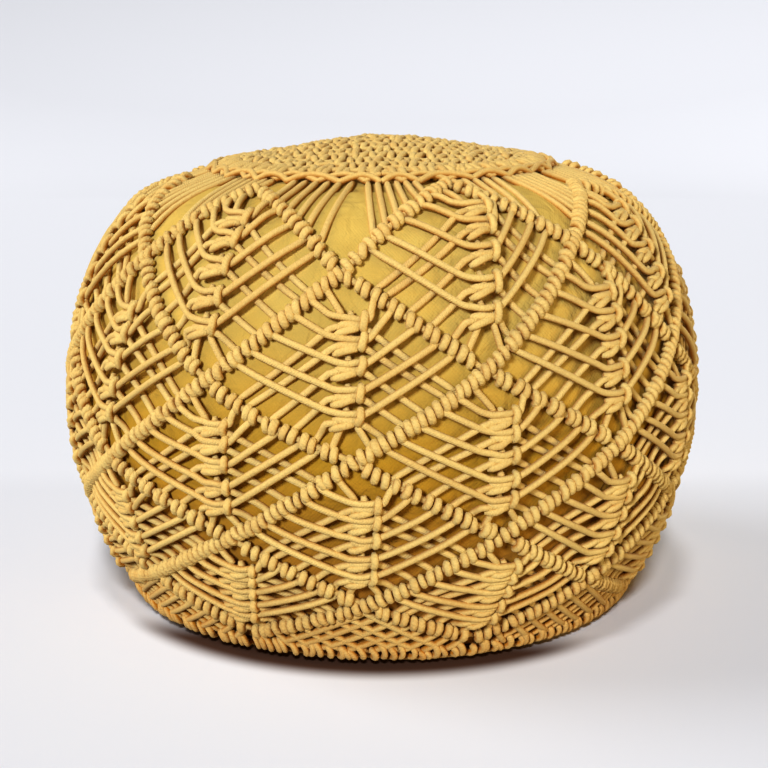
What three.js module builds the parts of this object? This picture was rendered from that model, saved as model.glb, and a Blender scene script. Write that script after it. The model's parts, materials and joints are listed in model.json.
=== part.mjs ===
import * as THREE from 'three';

// Macrame pouf: a filled canvas cushion inside a knotted cord net, with a worked round panel on
// top, a rope ring round that panel and a flat cord base. Millimetres, +Z up, the floor at Z = 0.
// A place on the pouf is given as a turn in degrees from the front (-Y), positive to the right,
// a distance down the canvas from the middle of the crown, and a lift straight out from the canvas.

// Driving dimensions
const CUSHION_RADIUS = 239; // canvas at the belly
const BELLY_HEIGHT = 156; // where the canvas is widest
const SHOULDER_HEIGHT = 329; // where the canvas levels off
const CROWN_RISE = 16; // extra height in the middle of the top
const CROWN_RADIUS = 150; // edge of that rise
const FOOT_RADIUS = 185; // flat part of the canvas underneath
const BASE_THICKNESS = 8; // cord base under the canvas
const CORD = 5.5; // cord diameter
const CLEAR = 0.4; // between neighbouring pieces
const SEAT = 2 * CLEAR; // lift of a cord's underside, so that its straight facets clear the canvas
const LEAN = 0.013 / 356; // share by which a height grows with each millimetre to the right

// Roundness of the profile: powers of its upper and lower curves, outwards and upwards
const SHOULDER_POWER = { out: 5, up: 1.79 };
const FLANK_POWER = { out: 1.2, up: 1.85 };
const CROWN_POWER = 1.5;

// Net: bars cross at nodes in rows, half a repeat apart from one row to the next
const REPEATS = 8;
const REPEAT_TURN = 360 / REPEATS;
const FIRST_TURN = 17.5; // turn of a node in the top row
const ROWS = [
  { down: 152, pull: 0 },
  { down: 221, pull: 7 },
  { down: 296, pull: 8 },
  { down: 356, pull: 8 },
  { down: 407, pull: 3 },
  { down: 457, pull: 0 },
  { down: 494, pull: 0 },
]; // distance of each row down the canvas, and how far it is drawn up or let down round the pouf
const PULL_TURN = 20; // turn at which the rows are drawn up most, and again opposite

// Bars have a ridge at each share of their length, sinnets one at each share of a diamond's height
const BAR = { width: 13, height: 10.5, groove: 0.7, root: 4, setback: 13 };
const BAR_RIDGES = [0.31, 0.55, 0.79];
const FOOT_BAR_RIDGES = [0.5];
const SINNET = { width: 21, height: 9.5, groove: 0.75, root: 5, start: 0.22, end: 0.8 };
const STRAND = { width: 6, height: CORD, crest: 0.5, lift: 1.5 };
const HOLDING_RING = { down: 147, width: 7, height: 7 };
const FOOT_RING = { down: 503, width: 7, height: 8 };

// Diamonds by row: each strand runs from a bar's ridge to a knot of the sinnet
const THREE_KNOTS = { knots: [0.32, 0.52, 0.71], ridges: [0, 1, 2] };
const TWO_KNOTS = { knots: [0.38, 0.66], ridges: [0, 2] };
const DIAMOND_ROWS = [THREE_KNOTS, THREE_KNOTS, THREE_KNOTS, THREE_KNOTS, TWO_KNOTS];

// Strands from a ring to the bars next to it, as shares of half a repeat from the bars' meeting
// point, each to a bar's ridge
const TOP_FAN = [{ onRing: 0.6, ridge: 1 }, { onRing: 0.33, ridge: 2 }];
const FOOT_FAN = [{ onRing: 0.4, ridge: 0 }];
const RING_ROOT = 1.3; // half a strand's root on a ring, in degrees of turn
const NODE_ROOT = 2.2; // half a node's root on a ring, in degrees of turn

// Top panel, ring, base and cushion
const TOP_PANEL = { edge: 129.5, thickness: 8, rounds: 7, groove: 2, segments: 40, underRounds: 4 };
const TOP_RING = { down: 137, radius: 5.6, lobe: 1.1, twists: 40, steps: 120, sides: 6 };
const BASE = { radius: 193, rim: 2.5, segments: 48 };
const CUSHION = { segments: 44, rounds: 22 };

const PROFILE_STEPS = 200;
const RADIANS = Math.PI / 180;

// Profile of the canvas as radius, height and distance from the crown, from the crown to the foot
function makeProfile() {
  const places = [];
  for (let i = 0; i <= PROFILE_STEPS; i += 1) {
    const share = Math.sin((i / PROFILE_STEPS) * (Math.PI / 2));
    const radius = CUSHION_RADIUS * share;
    const level = (1 - share ** SHOULDER_POWER.out) ** (1 / SHOULDER_POWER.up);
    const crown = CROWN_RISE * Math.max(0, 1 - (radius / CROWN_RADIUS) ** 2) ** CROWN_POWER;
    places.push({ radius, height: mix(BELLY_HEIGHT, SHOULDER_HEIGHT, level) + crown });
  }
  for (let i = 1; i <= PROFILE_STEPS; i += 1) {
    const angle = (i / PROFILE_STEPS) * (Math.PI / 2);
    const out = Math.cos(angle) ** (2 / FLANK_POWER.out);
    const below = Math.sin(angle) ** (2 / FLANK_POWER.up);
    places.push({
      radius: mix(FOOT_RADIUS, CUSHION_RADIUS, out),
      height: mix(BELLY_HEIGHT, BASE_THICKNESS + CLEAR, below),
    });
  }
  let down = 0;
  places.forEach((place, i) => {
    const before = places[Math.max(0, i - 1)];
    down += Math.hypot(place.radius - before.radius, place.height - before.height);
    place.down = down;
  });
  return places;
}

function mix(from, to, share) {
  return from + (to - from) * share;
}

const profile = makeProfile();
const FOOT_DOWN = profile[profile.length - 1].down;

// Point of the pouf from its turn, its distance down the canvas and its lift off the canvas
function onPouf(turn, down, lift) {
  let i = 1;
  while (i < profile.length - 1 && profile[i].down < down) i += 1;
  const before = profile[i - 1];
  const after = profile[i];
  const length = after.down - before.down;
  const share = (down - before.down) / length;
  const outward = (before.height - after.height) / length;
  const upward = (after.radius - before.radius) / length;
  const radius = mix(before.radius, after.radius, share) + lift * outward;
  const height = mix(before.height, after.height, share) + lift * upward;
  return leaned(radius, turn, height);
}

// Point at a radius, turn and height, raised to the right by the pouf's lean
function leaned(radius, turn, height) {
  const x = radius * Math.sin(turn * RADIANS);
  const y = -radius * Math.cos(turn * RADIANS);
  return new THREE.Vector3(x, y, height * (1 + LEAN * x));
}

function skin(points, faces) {
  const geometry = new THREE.BufferGeometry();
  geometry.setFromPoints(points);
  geometry.setIndex(faces);
  return geometry;
}

// Round skin between two poles: rings of points that all have the same count
function domed(topPole, rings, bottomPole) {
  const count = rings[0].length;
  const points = [topPole, ...rings.flat(), bottomPole];
  const faces = [];
  for (let j = 0; j < count; j += 1) {
    const k = (j + 1) % count;
    faces.push(0, 1 + j, 1 + k);
    for (let i = 0; i < rings.length - 1; i += 1) {
      const here = 1 + i * count;
      const next = here + count;
      faces.push(here + j, next + j, next + k, here + j, next + k, here + k);
    }
    const last = 1 + (rings.length - 1) * count;
    faces.push(points.length - 1, last + k, last + j);
  }
  return skin(points, faces);
}

function circle(segments, place) {
  return Array.from({ length: segments }, (_, j) => place((360 * j) / segments));
}

// Net under construction. A strip is a run of rings with a left foot, a right foot and a crest, and
// a port is an opening in it that another cord joins, named as seen from outside the strip.
const netPoints = [];
const netFaces = [];

function addPoint(point) {
  netPoints.push(point);
  return netPoints.length - 1;
}

function addQuad(a, b, c, d) {
  netFaces.push(a, b, c, a, c, d);
}

function addFan(loop) {
  for (let i = 1; i < loop.length - 1; i += 1) netFaces.push(loop[0], loop[i], loop[i + 1]);
}

function between(from, to, share) {
  return { turn: mix(from.turn, to.turn, share), down: mix(from.down, to.down, share) };
}

function distance(from, to) {
  return onPouf(from.turn, from.down, 0).distanceTo(onPouf(to.turn, to.down, 0));
}

// Frame at a place on a run between two other places: the place itself, the way out and the right
function frameAt(place, before, after, lift) {
  const foot = onPouf(place.turn, place.down, lift);
  const along = onPouf(after.turn, after.down, lift).sub(onPouf(before.turn, before.down, lift));
  const out = onPouf(place.turn, place.down, lift + 1).sub(foot);
  const right = along.cross(out).normalize();
  return { foot, out, right };
}

// Ring of a strip: left foot, right foot and crest
function addRing(place, before, after, width, height) {
  const { foot, out, right } = frameAt(place, before, after, SEAT);
  return {
    left: addPoint(foot.clone().addScaledVector(right, -width / 2)),
    right: addPoint(foot.clone().addScaledVector(right, width / 2)),
    crest: addPoint(foot.clone().addScaledVector(out, height)),
  };
}

// Faces of a strip between two of its rings, leaving out the walls that are to be joined
function addSpan(here, next, openLeft, openRight) {
  addQuad(here.left, next.left, next.right, here.right);
  if (!openLeft) addQuad(here.left, here.crest, next.crest, next.left);
  if (!openRight) addQuad(here.right, next.right, next.crest, here.crest);
}

function leftPort(here, next) {
  return { lowLeft: next.left, lowRight: here.left, highRight: here.crest, highLeft: next.crest };
}

function rightPort(here, next) {
  return { lowLeft: here.right, lowRight: next.right, highRight: next.crest, highLeft: here.crest };
}

// Strip with a ridge at each of some shares of its run, and its ports on both sides of each ridge.
// The walls at the ridges named in openLeft and openRight are left out.
function addStrip(from, to, size, first, last, ridges, openLeft, openRight) {
  const length = distance(from, to);
  const root = size.root / length;
  const stations = [{ share: first, size: size.groove }];
  ridges.forEach((ridge, i) => {
    if (i > 0) stations.push({ share: (ridge + ridges[i - 1]) / 2, size: size.groove });
    stations.push({ share: ridge - root, size: 1 }, { share: ridge + root, size: 1 });
  });
  stations.push({ share: last, size: size.groove });
  const rings = stations.map((station) => addRing(
    between(from, to, station.share), from, to, size.width * station.size, size.height * station.size));
  const strip = { start: rings[0], end: rings[rings.length - 1], left: [], right: [] };
  for (let i = 0; i < rings.length - 1; i += 1) {
    const ridge = (i - 1) / 3;
    addSpan(rings[i], rings[i + 1], openLeft.includes(ridge), openRight.includes(ridge));
    if (Number.isInteger(ridge)) {
      strip.left.push(leftPort(rings[i], rings[i + 1]));
      strip.right.push(rightPort(rings[i], rings[i + 1]));
    }
  }
  return strip;
}

// Plain cord from one port to another, by way of a place between them
function addStrand(from, to, place, before, after) {
  const { foot, out, right } = frameAt(place, before, after, STRAND.lift);
  const half = STRAND.width / 2;
  const corner = (side, up) => addPoint(foot.clone()
    .addScaledVector(right, side)
    .addScaledVector(out, up));
  const loops = [
    [from.lowLeft, from.lowRight, from.highRight, from.highLeft],
    [
      corner(half, 0),
      corner(-half, 0),
      corner(-half * STRAND.crest, STRAND.height),
      corner(half * STRAND.crest, STRAND.height),
    ],
    [to.lowRight, to.lowLeft, to.highLeft, to.highRight],
  ];
  for (let i = 0; i < 2; i += 1) {
    for (let j = 0; j < 4; j += 1) {
      const k = (j + 1) % 4;
      addQuad(loops[i][j], loops[i][k], loops[i + 1][k], loops[i + 1][j]);
    }
  }
}

// Ends that meet at a node, as seen from the node: the clockwise and the other corner of each
function leaving(ring) {
  return { low: [ring.right, ring.left], high: [ring.crest] };
}

function arriving(ring) {
  return { low: [ring.left, ring.right], high: [ring.crest] };
}

function wallEnd(port) {
  return { low: [port.lowRight, port.lowLeft], high: [port.highRight, port.highLeft] };
}

// Knot at a node: joins the ends that meet there, given in turn anticlockwise, under a raised top
function addKnot(place, ends) {
  ends.forEach((end, i) => {
    const next = ends[(i + 1) % ends.length];
    addQuad(end.low[1], next.low[0], next.high[0], end.high[end.high.length - 1]);
  });
  addFan(ends.flatMap((end) => end.low).reverse());
  const top = addPoint(onPouf(place.turn, place.down, SEAT + BAR.height));
  const crest = ends.flatMap((end) => end.high);
  crest.forEach((point, i) => netFaces.push(top, point, crest[(i + 1) % crest.length]));
}

// Cord once round the pouf, with openings between given turns on one side, returned in their order
function addRingCord({ down, width, height }, openings, side) {
  const turns = openings.flatMap(({ turn, root }) => [turn - root, turn + root]);
  const rings = turns.map((turn) => addRing(
    { turn, down }, { turn: turn - 1, down }, { turn: turn + 1, down }, width, height));
  return rings.flatMap((ring, i) => {
    const next = rings[(i + 1) % rings.length];
    const open = i % 2 === 0;
    addSpan(ring, next, open && side === 'left', open && side === 'right');
    if (!open) return [];
    return [side === 'left' ? leftPort(ring, next) : rightPort(ring, next)];
  });
}

// Place in a row of the net, which two humps of uneven pull draw up and let down
function inRow(row, turn) {
  const { down, pull } = ROWS[row];
  return { turn, down: down - pull * Math.cos(2 * (turn - PULL_TURN) * RADIANS) };
}

function node(row, k) {
  return inRow(row, FIRST_TURN + REPEAT_TURN * (k + (row % 2) / 2));
}

function wrap(k) {
  return (k + REPEATS) % REPEATS;
}

// Openings of a ring over one repeat from a node: the node's root, then the strands of its fan
function ringOpenings(strands) {
  const half = REPEAT_TURN / 2;
  const shares = strands.map(({ onRing }) => onRing);
  const turns = [...shares.map((share) => half * (1 - share)),
    ...shares.map((share) => half * (1 + share)).reverse()];
  return Array.from({ length: REPEATS }, (_, k) => {
    const { turn } = node(0, k);
    return [{ turn, root: NODE_ROOT }, ...turns.map((t) => ({ turn: turn + t, root: RING_ROOT }))];
  }).flat();
}

// Two bars that leave each node of a row, to the left and to the right
function addBars(row) {
  const lowest = row === DIAMOND_ROWS.length;
  const ridges = lowest ? FOOT_BAR_RIDGES : BAR_RIDGES;
  const lower = lowest ? FOOT_FAN.map((s) => s.ridge) : DIAMOND_ROWS[row].ridges;
  const upper = row > 0 ? [] : TOP_FAN.map((s) => s.ridge);
  return Array.from({ length: REPEATS }, (_, k) => {
    const from = node(row, k);
    const [left, right] = [-1, 1].map((side) => inRow(row + 1, from.turn + (side * REPEAT_TURN) / 2));
    const setback = BAR.setback / distance(from, left);
    return {
      toLeft: addStrip(from, left, BAR, setback, 1 - setback, ridges, lower, upper),
      toRight: addStrip(from, right, BAR, setback, 1 - setback, ridges, upper, lower),
    };
  });
}

// Sinnet of a diamond and the strands that come to it from the two bars above
function addDiamond(row, k, bars) {
  const top = node(row, k);
  const bottom = inRow(row + 2, top.turn);
  const { knots, ridges } = DIAMOND_ROWS[row];
  const all = knots.map((_, i) => i);
  const sinnet = addStrip(top, bottom, SINNET, SINNET.start, SINNET.end, knots, all, all);
  addFan([sinnet.start.left, sinnet.start.right, sinnet.start.crest]);
  addFan([sinnet.end.left, sinnet.end.crest, sinnet.end.right]);
  [-1, 1].forEach((side) => {
    const corner = inRow(row + 1, top.turn + (side * REPEAT_TURN) / 2);
    ridges.forEach((ridge, i) => {
      const start = between(top, corner, BAR_RIDGES[ridge]);
      const end = between(top, bottom, knots[i]);
      const from = side < 0 ? bars.toLeft.left[ridge] : bars.toRight.right[ridge];
      const to = side < 0 ? sinnet.right[i] : sinnet.left[i];
      addStrand(from, to, between(start, end, 0.5), start, end);
    });
  });
}

// Strands of a fan between a ring and the bars on both sides of one repeat from a node
function addFanStrands(strands, ring, ports, sides) {
  const count = strands.length;
  strands.forEach(({ ridge }, i) => {
    const pair = [ports[i], ports[2 * count - 1 - i]];
    sides.forEach(({ walls, from, to, ridges }, side) => {
      const port = pair[side];
      const wall = walls[ridge];
      const end = between(from, to, ridges[ridge]);
      const start = { turn: port.turn, down: ring.down };
      addStrand(port.opening, wall, between(start, end, 0.5), start, end);
    });
  });
}

// Knotted net round the side: rings, bars, knots, sinnets and strands as one skin
function sideNet() {
  const lastRow = ROWS.length - 1;
  const bars = ROWS.slice(0, lastRow).map((_, row) => addBars(row));
  const openings = { top: ringOpenings(TOP_FAN), foot: ringOpenings(FOOT_FAN) };
  const top = addRingCord(HOLDING_RING, openings.top, 'right');
  const foot = addRingCord(FOOT_RING, openings.foot, 'left');
  const topPorts = top.map((opening, i) => ({ opening, turn: openings.top[i].turn }));
  const footPorts = foot.map((opening, i) => ({ opening, turn: openings.foot[i].turn }));
  const topStep = 1 + 2 * TOP_FAN.length;
  const footStep = 1 + 2 * FOOT_FAN.length;
  for (let k = 0; k < REPEATS; k += 1) {
    DIAMOND_ROWS.forEach((_, row) => addDiamond(row, k, bars[row][k]));
    for (let row = 1; row < lastRow; row += 1) {
      const odd = row % 2;
      addKnot(node(row, k), [
        arriving(bars[row - 1][wrap(k + odd)].toLeft.end),
        arriving(bars[row - 1][wrap(k - 1 + odd)].toRight.end),
        leaving(bars[row][k].toLeft.start),
        leaving(bars[row][k].toRight.start),
      ]);
    }
    const next = wrap(k + 1);
    addKnot(node(0, k), [
      wallEnd(topPorts[k * topStep].opening),
      leaving(bars[0][k].toLeft.start),
      leaving(bars[0][k].toRight.start),
    ]);
    addKnot(node(lastRow, k), [
      arriving(bars[lastRow - 1][k].toLeft.end),
      arriving(bars[lastRow - 1][wrap(k - 1)].toRight.end),
      wallEnd(footPorts[k * footStep].opening),
    ]);
    const upper = node(0, k);
    const peak = inRow(1, upper.turn + REPEAT_TURN / 2);
    const besideUpper = inRow(0, upper.turn + REPEAT_TURN);
    addFanStrands(TOP_FAN, HOLDING_RING, topPorts.slice(k * topStep + 1, (k + 1) * topStep), [
      { walls: bars[0][k].toRight.left, from: upper, to: peak, ridges: BAR_RIDGES },
      { walls: bars[0][next].toLeft.right, from: besideUpper, to: peak, ridges: BAR_RIDGES },
    ]);
    const valley = node(lastRow - 1, k);
    const corner = (side) => inRow(lastRow, valley.turn + (side * REPEAT_TURN) / 2);
    const { toLeft, toRight } = bars[lastRow - 1][k];
    addFanStrands(FOOT_FAN, FOOT_RING, footPorts.slice(k * footStep + 1, (k + 1) * footStep), [
      { walls: toLeft.left, from: valley, to: corner(-1), ridges: FOOT_BAR_RIDGES },
      { walls: toRight.right, from: valley, to: corner(1), ridges: FOOT_BAR_RIDGES },
    ]);
  }
  return skin(netPoints, netFaces);
}

// Filled canvas cushion with its crown, rounded shoulders, belly and flat foot
function cushion() {
  const rings = [];
  for (let i = 1; i <= CUSHION.rounds; i += 1) {
    const down = (FOOT_DOWN * i) / CUSHION.rounds;
    rings.push(circle(CUSHION.segments, (turn) => onPouf(turn, down, 0)));
  }
  return domed(onPouf(0, 0, 0), rings, leaned(0, 0, BASE_THICKNESS + CLEAR));
}

// Crowned round panel on top, worked in ridged rounds
function topPanel() {
  const { edge, thickness, rounds, groove, segments, underRounds } = TOP_PANEL;
  const rings = [];
  for (let i = 1; i <= 2 * rounds; i += 1) {
    const lift = i % 2 ? thickness : thickness - groove;
    rings.push(circle(segments, (turn) => onPouf(turn, (edge * i) / (2 * rounds), lift)));
  }
  for (let i = underRounds; i > 0; i -= 1) {
    rings.push(circle(segments, (turn) => onPouf(turn, (edge * i) / underRounds, SEAT)));
  }
  return domed(onPouf(0, 0, thickness), rings, onPouf(0, 0, SEAT));
}

// Rope ring round the top panel: two cords twisted together
function topRing() {
  const { down, radius, lobe, twists, steps, sides } = TOP_RING;
  const points = [];
  const faces = [];
  for (let i = 0; i < steps; i += 1) {
    const turn = (360 * i) / steps;
    const twist = (2 * Math.PI * twists * i) / steps;
    for (let j = 0; j < sides; j += 1) {
      const angle = (2 * Math.PI * (j + 0.5)) / sides;
      const reach = radius - lobe + lobe * Math.cos(2 * angle - twist);
      const lift = radius - lobe / 2 + CLEAR + reach * Math.sin(angle);
      points.push(onPouf(turn, down - reach * Math.cos(angle), lift));
      const here = i * sides;
      const next = ((i + 1) % steps) * sides;
      const k = (j + 1) % sides;
      faces.push(here + j, here + k, next + k, here + j, next + k, next + j);
    }
  }
  return skin(points, faces);
}

// Flat cord base that the pouf stands on, with an eased edge
function basePanel() {
  const { radius, rim, segments } = BASE;
  const rows = [
    { radius: radius - rim, height: BASE_THICKNESS },
    { radius, height: BASE_THICKNESS - rim },
    { radius, height: rim },
    { radius: radius - rim, height: 0 },
  ];
  const rings = rows.map((row) => circle(segments, (turn) => leaned(row.radius, turn, row.height)));
  return domed(leaned(0, 0, BASE_THICKNESS), rings, leaned(0, 0, 0));
}

function piece(name, geometry, finish) {
  geometry.computeVertexNormals();
  const mesh = new THREE.Mesh(geometry, finish);
  mesh.name = name;
  return mesh;
}

const canvas = new THREE.MeshStandardMaterial({ color: 0xdcb04a, roughness: 0.95, metalness: 0 });
const cotton = new THREE.MeshStandardMaterial({ color: 0xd9ac58, roughness: 0.9, metalness: 0 });

const group = new THREE.Group();
group.add(piece('inner_cushion', cushion(), canvas));
group.add(piece('side_net', sideNet(), cotton));
group.add(piece('top_panel', topPanel(), cotton));
group.add(piece('top_ring', topRing(), cotton));
group.add(piece('base_panel', basePanel(), cotton));

export default group;
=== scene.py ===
"""Macrame pouf: a filled canvas cushion in a net of hitched bars, slanting cords and square knots.

Lengths are metres. A place on the pouf is a turn, in degrees round the upright axis from the front,
a length down the cushion's profile from the middle of its top, and a lift off the canvas.
"""
import json
import math
from functools import partial
from typing import NamedTuple

import bpy
import numpy as np
from bpy.props import FloatProperty, FloatVectorProperty, IntProperty, PointerProperty
from bpy.types import Operator, Panel, PropertyGroup
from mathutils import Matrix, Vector

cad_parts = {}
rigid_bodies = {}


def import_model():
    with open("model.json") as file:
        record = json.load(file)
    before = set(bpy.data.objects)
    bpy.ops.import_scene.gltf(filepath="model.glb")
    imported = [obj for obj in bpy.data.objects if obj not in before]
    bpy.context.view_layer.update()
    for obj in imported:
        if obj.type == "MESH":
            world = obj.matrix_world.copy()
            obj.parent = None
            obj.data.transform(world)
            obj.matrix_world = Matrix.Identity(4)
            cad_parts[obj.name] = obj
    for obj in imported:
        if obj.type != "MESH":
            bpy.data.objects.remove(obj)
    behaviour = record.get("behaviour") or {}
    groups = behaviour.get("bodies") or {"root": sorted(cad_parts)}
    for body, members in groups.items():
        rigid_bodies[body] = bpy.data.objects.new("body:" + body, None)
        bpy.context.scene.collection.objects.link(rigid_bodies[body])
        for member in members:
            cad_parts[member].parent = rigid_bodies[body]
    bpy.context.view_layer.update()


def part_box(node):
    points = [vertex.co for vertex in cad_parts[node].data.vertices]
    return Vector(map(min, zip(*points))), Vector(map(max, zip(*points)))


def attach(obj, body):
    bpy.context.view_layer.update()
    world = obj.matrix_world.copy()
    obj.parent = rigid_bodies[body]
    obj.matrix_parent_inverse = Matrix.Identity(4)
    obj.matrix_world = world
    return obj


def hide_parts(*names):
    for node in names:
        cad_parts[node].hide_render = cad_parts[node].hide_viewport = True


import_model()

bl_info = {
    "name": "Macrame Pouf",
    "version": (1, 0, 0),
    "blender": (4, 5, 0),
    "location": "3D View > Sidebar > Pouf",
    "description": "Knots a cotton cord net over a filled canvas cushion",
    "category": "Object",
}

MM = 0.001

# The cushion, as the part's source shapes it
CUSHION_LOW, CUSHION_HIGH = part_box("inner_cushion")
CUSHION_RADIUS = CUSHION_HIGH.x
FOOT_HEIGHT = CUSHION_LOW.z
CROWN_RISE = 16 * MM
CROWN_RADIUS = 150 * MM
CROWN_POWER = 1.5
SHOULDER_HEIGHT = CUSHION_HIGH.z - CROWN_RISE
BELLY_HEIGHT = 156 * MM
FOOT_RADIUS = 185 * MM
SHOULDER_OUT, SHOULDER_UP = 5, 1.79
FLANK_OUT, FLANK_UP = 1.2, 1.85
LEAN = 0.013 / 0.356
PROFILE_STEPS = 240

# The net's layout, as the part's source ties it
REPEATS = 8
STEP = 360 / REPEATS
HALF_STEP = STEP / 2
FIRST_TURN = 17.5
APEX_TURN = FIRST_TURN + STEP * np.arange(REPEATS)[:, None]
ROW_DOWN = np.array([152, 221, 296, 356, 407, 457, 494]) * MM
ROW_PULL = np.array([0, 7, 8, 8, 3, 0, 0]) * MM
PULL_TURN = 20
LAST_ROW = len(ROW_DOWN) - 1
DIAMOND_ROWS = LAST_ROW - 1
PLACES = 2 * REPEATS
RING_DOWN = 133 * MM
_, PANEL_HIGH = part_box("top_panel")
PANEL_EDGE = PANEL_HIGH.x

# Where the hand-tied net strays: each row drifts round the pouf, and nodes in view by their own amounts
ROW_DRIFT = np.array([-8, -4.5, -5, 0, 8, 8, 4]) * MM
NODE_STRAY = (
    # row, repeat, across and below in millimetres
    (0, -1, -18, 1),
    (0, 0, 4, -9),
    (0, 1, -9, 12),
    (1, -1, -8, 11),
    (1, 0, -1, -1),
    (2, -1, -7, 4),
    (2, 0, -3, 3),
    (3, -2, -10, 6),
    (3, -1, 3, -4),
    (3, 0, 7, 2),
    (4, -1, 7, 1),
    (4, 0, 10, 0),
    (5, -1, 8, -1),
)

# How a cord is drawn
CORD_SIDES = 8
HIDDEN_SIDES = 6
TIP_SHARE = 0.62
SEED = 11


def linear(code):
    """Linear red, green, blue and full opacity from an sRGB hex code."""
    parts = [int(code[i:i + 2], 16) / 255 for i in (1, 3, 5)]
    return (*(c / 12.92 if c <= 0.04045 else ((c + 0.055) / 1.055) ** 2.4 for c in parts), 1.0)


class PoufSizes(PropertyGroup):
    """Sizes that change how the net is knotted."""

    cord: FloatProperty(
        name="Cord", description="Width of the cotton cord",
        default=4.9 * MM, min=3 * MM, max=8 * MM, unit="LENGTH")
    hitch_spacing: FloatProperty(
        name="Hitch spacing", description="Length of bar that one double half hitch takes",
        default=12.2 * MM, min=8 * MM, max=25 * MM, unit="LENGTH")
    ring_arches: IntProperty(
        name="Ring arches", description="Arches of the edging round the top panel",
        default=26, min=4, max=60)
    foot_loops: IntProperty(
        name="Foot loops", description="Loops of cord round the foot",
        default=200, min=40, max=240)
    slack: FloatProperty(
        name="Slack", description="How far hand knotting strays from the even pattern",
        default=0.8 * MM, min=0, max=3 * MM, unit="LENGTH")


class PoufColours(PropertyGroup):
    """Colours of the two cloths and the floor."""

    cord: FloatVectorProperty(
        name="Cord", description="Dyed cotton cord",
        default=linear("#e3d292"), size=4, min=0, max=1, subtype="COLOR")
    # The deeper colour serves cords that took more dye, and also the painted shade on cord sides against
    # the canvas and near the foot
    cord_deep_and_shade: FloatVectorProperty(
        name="Cord, deeper", description="Cords that took more dye",
        default=linear("#b47616"), size=4, min=0, max=1, subtype="COLOR")
    canvas: FloatVectorProperty(
        name="Canvas", description="Dyed cotton canvas",
        default=linear("#d4c377"), size=4, min=0, max=1, subtype="COLOR")
    floor: FloatVectorProperty(
        name="Floor", description="Matt paper under the pouf",
        default=linear("#e4e5ea"), size=4, min=0, max=1, subtype="COLOR")


# Places on the pouf

def smooth(values, steps):
    """Catmull-Rom curve through the columns of values, read at even steps from the first to the last."""
    first = 2 * values[:, :1] - values[:, 1:2]
    last = 2 * values[:, -1:] - values[:, -2:-1]
    held = np.concatenate([first, values, last], axis=1)
    place = np.linspace(0, values.shape[1] - 1, steps)
    start = np.minimum(place.astype(int), values.shape[1] - 2)
    t = place - start
    a, b, c, d = (held[:, start + k] for k in range(4))
    return b + t / 2 * (c - a + t * (2 * a - 5 * b + 4 * c - d + t * (3 * b - a - 3 * c + d)))


def closed_wander(rng, spread, count, steps):
    """Two smooth rows of small strays through random values, which end as they begin."""
    values = rng.normal(0, spread, (2, count))
    return smooth(np.concatenate([values, values[:, :1]], axis=1), steps)


def unit(vectors):
    """The same directions, each of length one."""
    return vectors / np.linalg.norm(vectors, axis=-1, keepdims=True)


def smoothstep(values, low, high):
    """A soft step from nil at low to one at high."""
    share = np.clip((values - low) / (high - low), 0, 1)
    return share * share * (3 - 2 * share)


def make_profile():
    """Length down, radius, height and outward normal along the cushion's profile.

    Above the belly the height falls with a high power of the radius's share, with a soft crown on
    top. Below it, radius and height follow powers of a quarter turn's cosine and sine. The last
    stretch runs flat to the middle of the underside.
    """
    quarter = np.linspace(0, np.pi / 2, PROFILE_STEPS)
    share = np.sin(quarter)
    radius = CUSHION_RADIUS * share
    level = np.clip(1 - share ** SHOULDER_OUT, 0, 1) ** (1 / SHOULDER_UP)
    crown = CROWN_RISE * np.clip(1 - (radius / CROWN_RADIUS) ** 2, 0, 1) ** CROWN_POWER
    shoulder = np.stack([radius, BELLY_HEIGHT + (SHOULDER_HEIGHT - BELLY_HEIGHT) * level + crown])
    out = np.clip(np.cos(quarter), 0, 1) ** (2 / FLANK_OUT)
    up = share ** (2 / FLANK_UP)
    flank = np.stack([FOOT_RADIUS + (CUSHION_RADIUS - FOOT_RADIUS) * out,
                      BELLY_HEIGHT + (FOOT_HEIGHT - BELLY_HEIGHT) * up])
    inward = np.linspace(FOOT_RADIUS, 0, PROFILE_STEPS)
    under = np.stack([inward, np.full(PROFILE_STEPS, FOOT_HEIGHT)])
    line = np.concatenate([shoulder, flank[:, 1:], under[:, 1:]], axis=1)
    moves = np.diff(line, axis=1)
    down = np.concatenate([[0], np.cumsum(np.hypot(*moves))])
    run = np.gradient(line, axis=1)
    run /= np.hypot(*run)
    return down, line[0], line[1], -run[1], run[0]


PROFILE_LENGTH, PROFILE_RADIUS, PROFILE_HEIGHT, PROFILE_OUT, PROFILE_UP = make_profile()
FOOT_DOWN = PROFILE_LENGTH[2 * PROFILE_STEPS - 2]

# Where the stuffed canvas stands fuller than its solid: length down, more radius and more height
FULLER = np.array([
    [0, 85, 115, 145, 190, 225, 260, 320, 400, 450, 490,
     FOOT_DOWN / MM, FOOT_DOWN / MM + 12, FOOT_DOWN / MM + 45],
    [0, 0, 0, 0, 1.5, 2.5, 3.0, 2.5, 1.5, 1.5, 2.5, 8.0, 8.0, 0],
    [0, 0, 3.5, 6.0, 7.5, 4.8, 2.8, 1.0, 0, 0, 0, 1.5, 1.5, 0],
]) * MM
PROFILE_RADIUS += np.interp(PROFILE_LENGTH, FULLER[0], FULLER[1])
PROFILE_HEIGHT += np.interp(PROFILE_LENGTH, FULLER[0], FULLER[2])


def radius_at(down):
    """Radius of the cushion at a length down its profile."""
    return np.interp(down, PROFILE_LENGTH, PROFILE_RADIUS)


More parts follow.
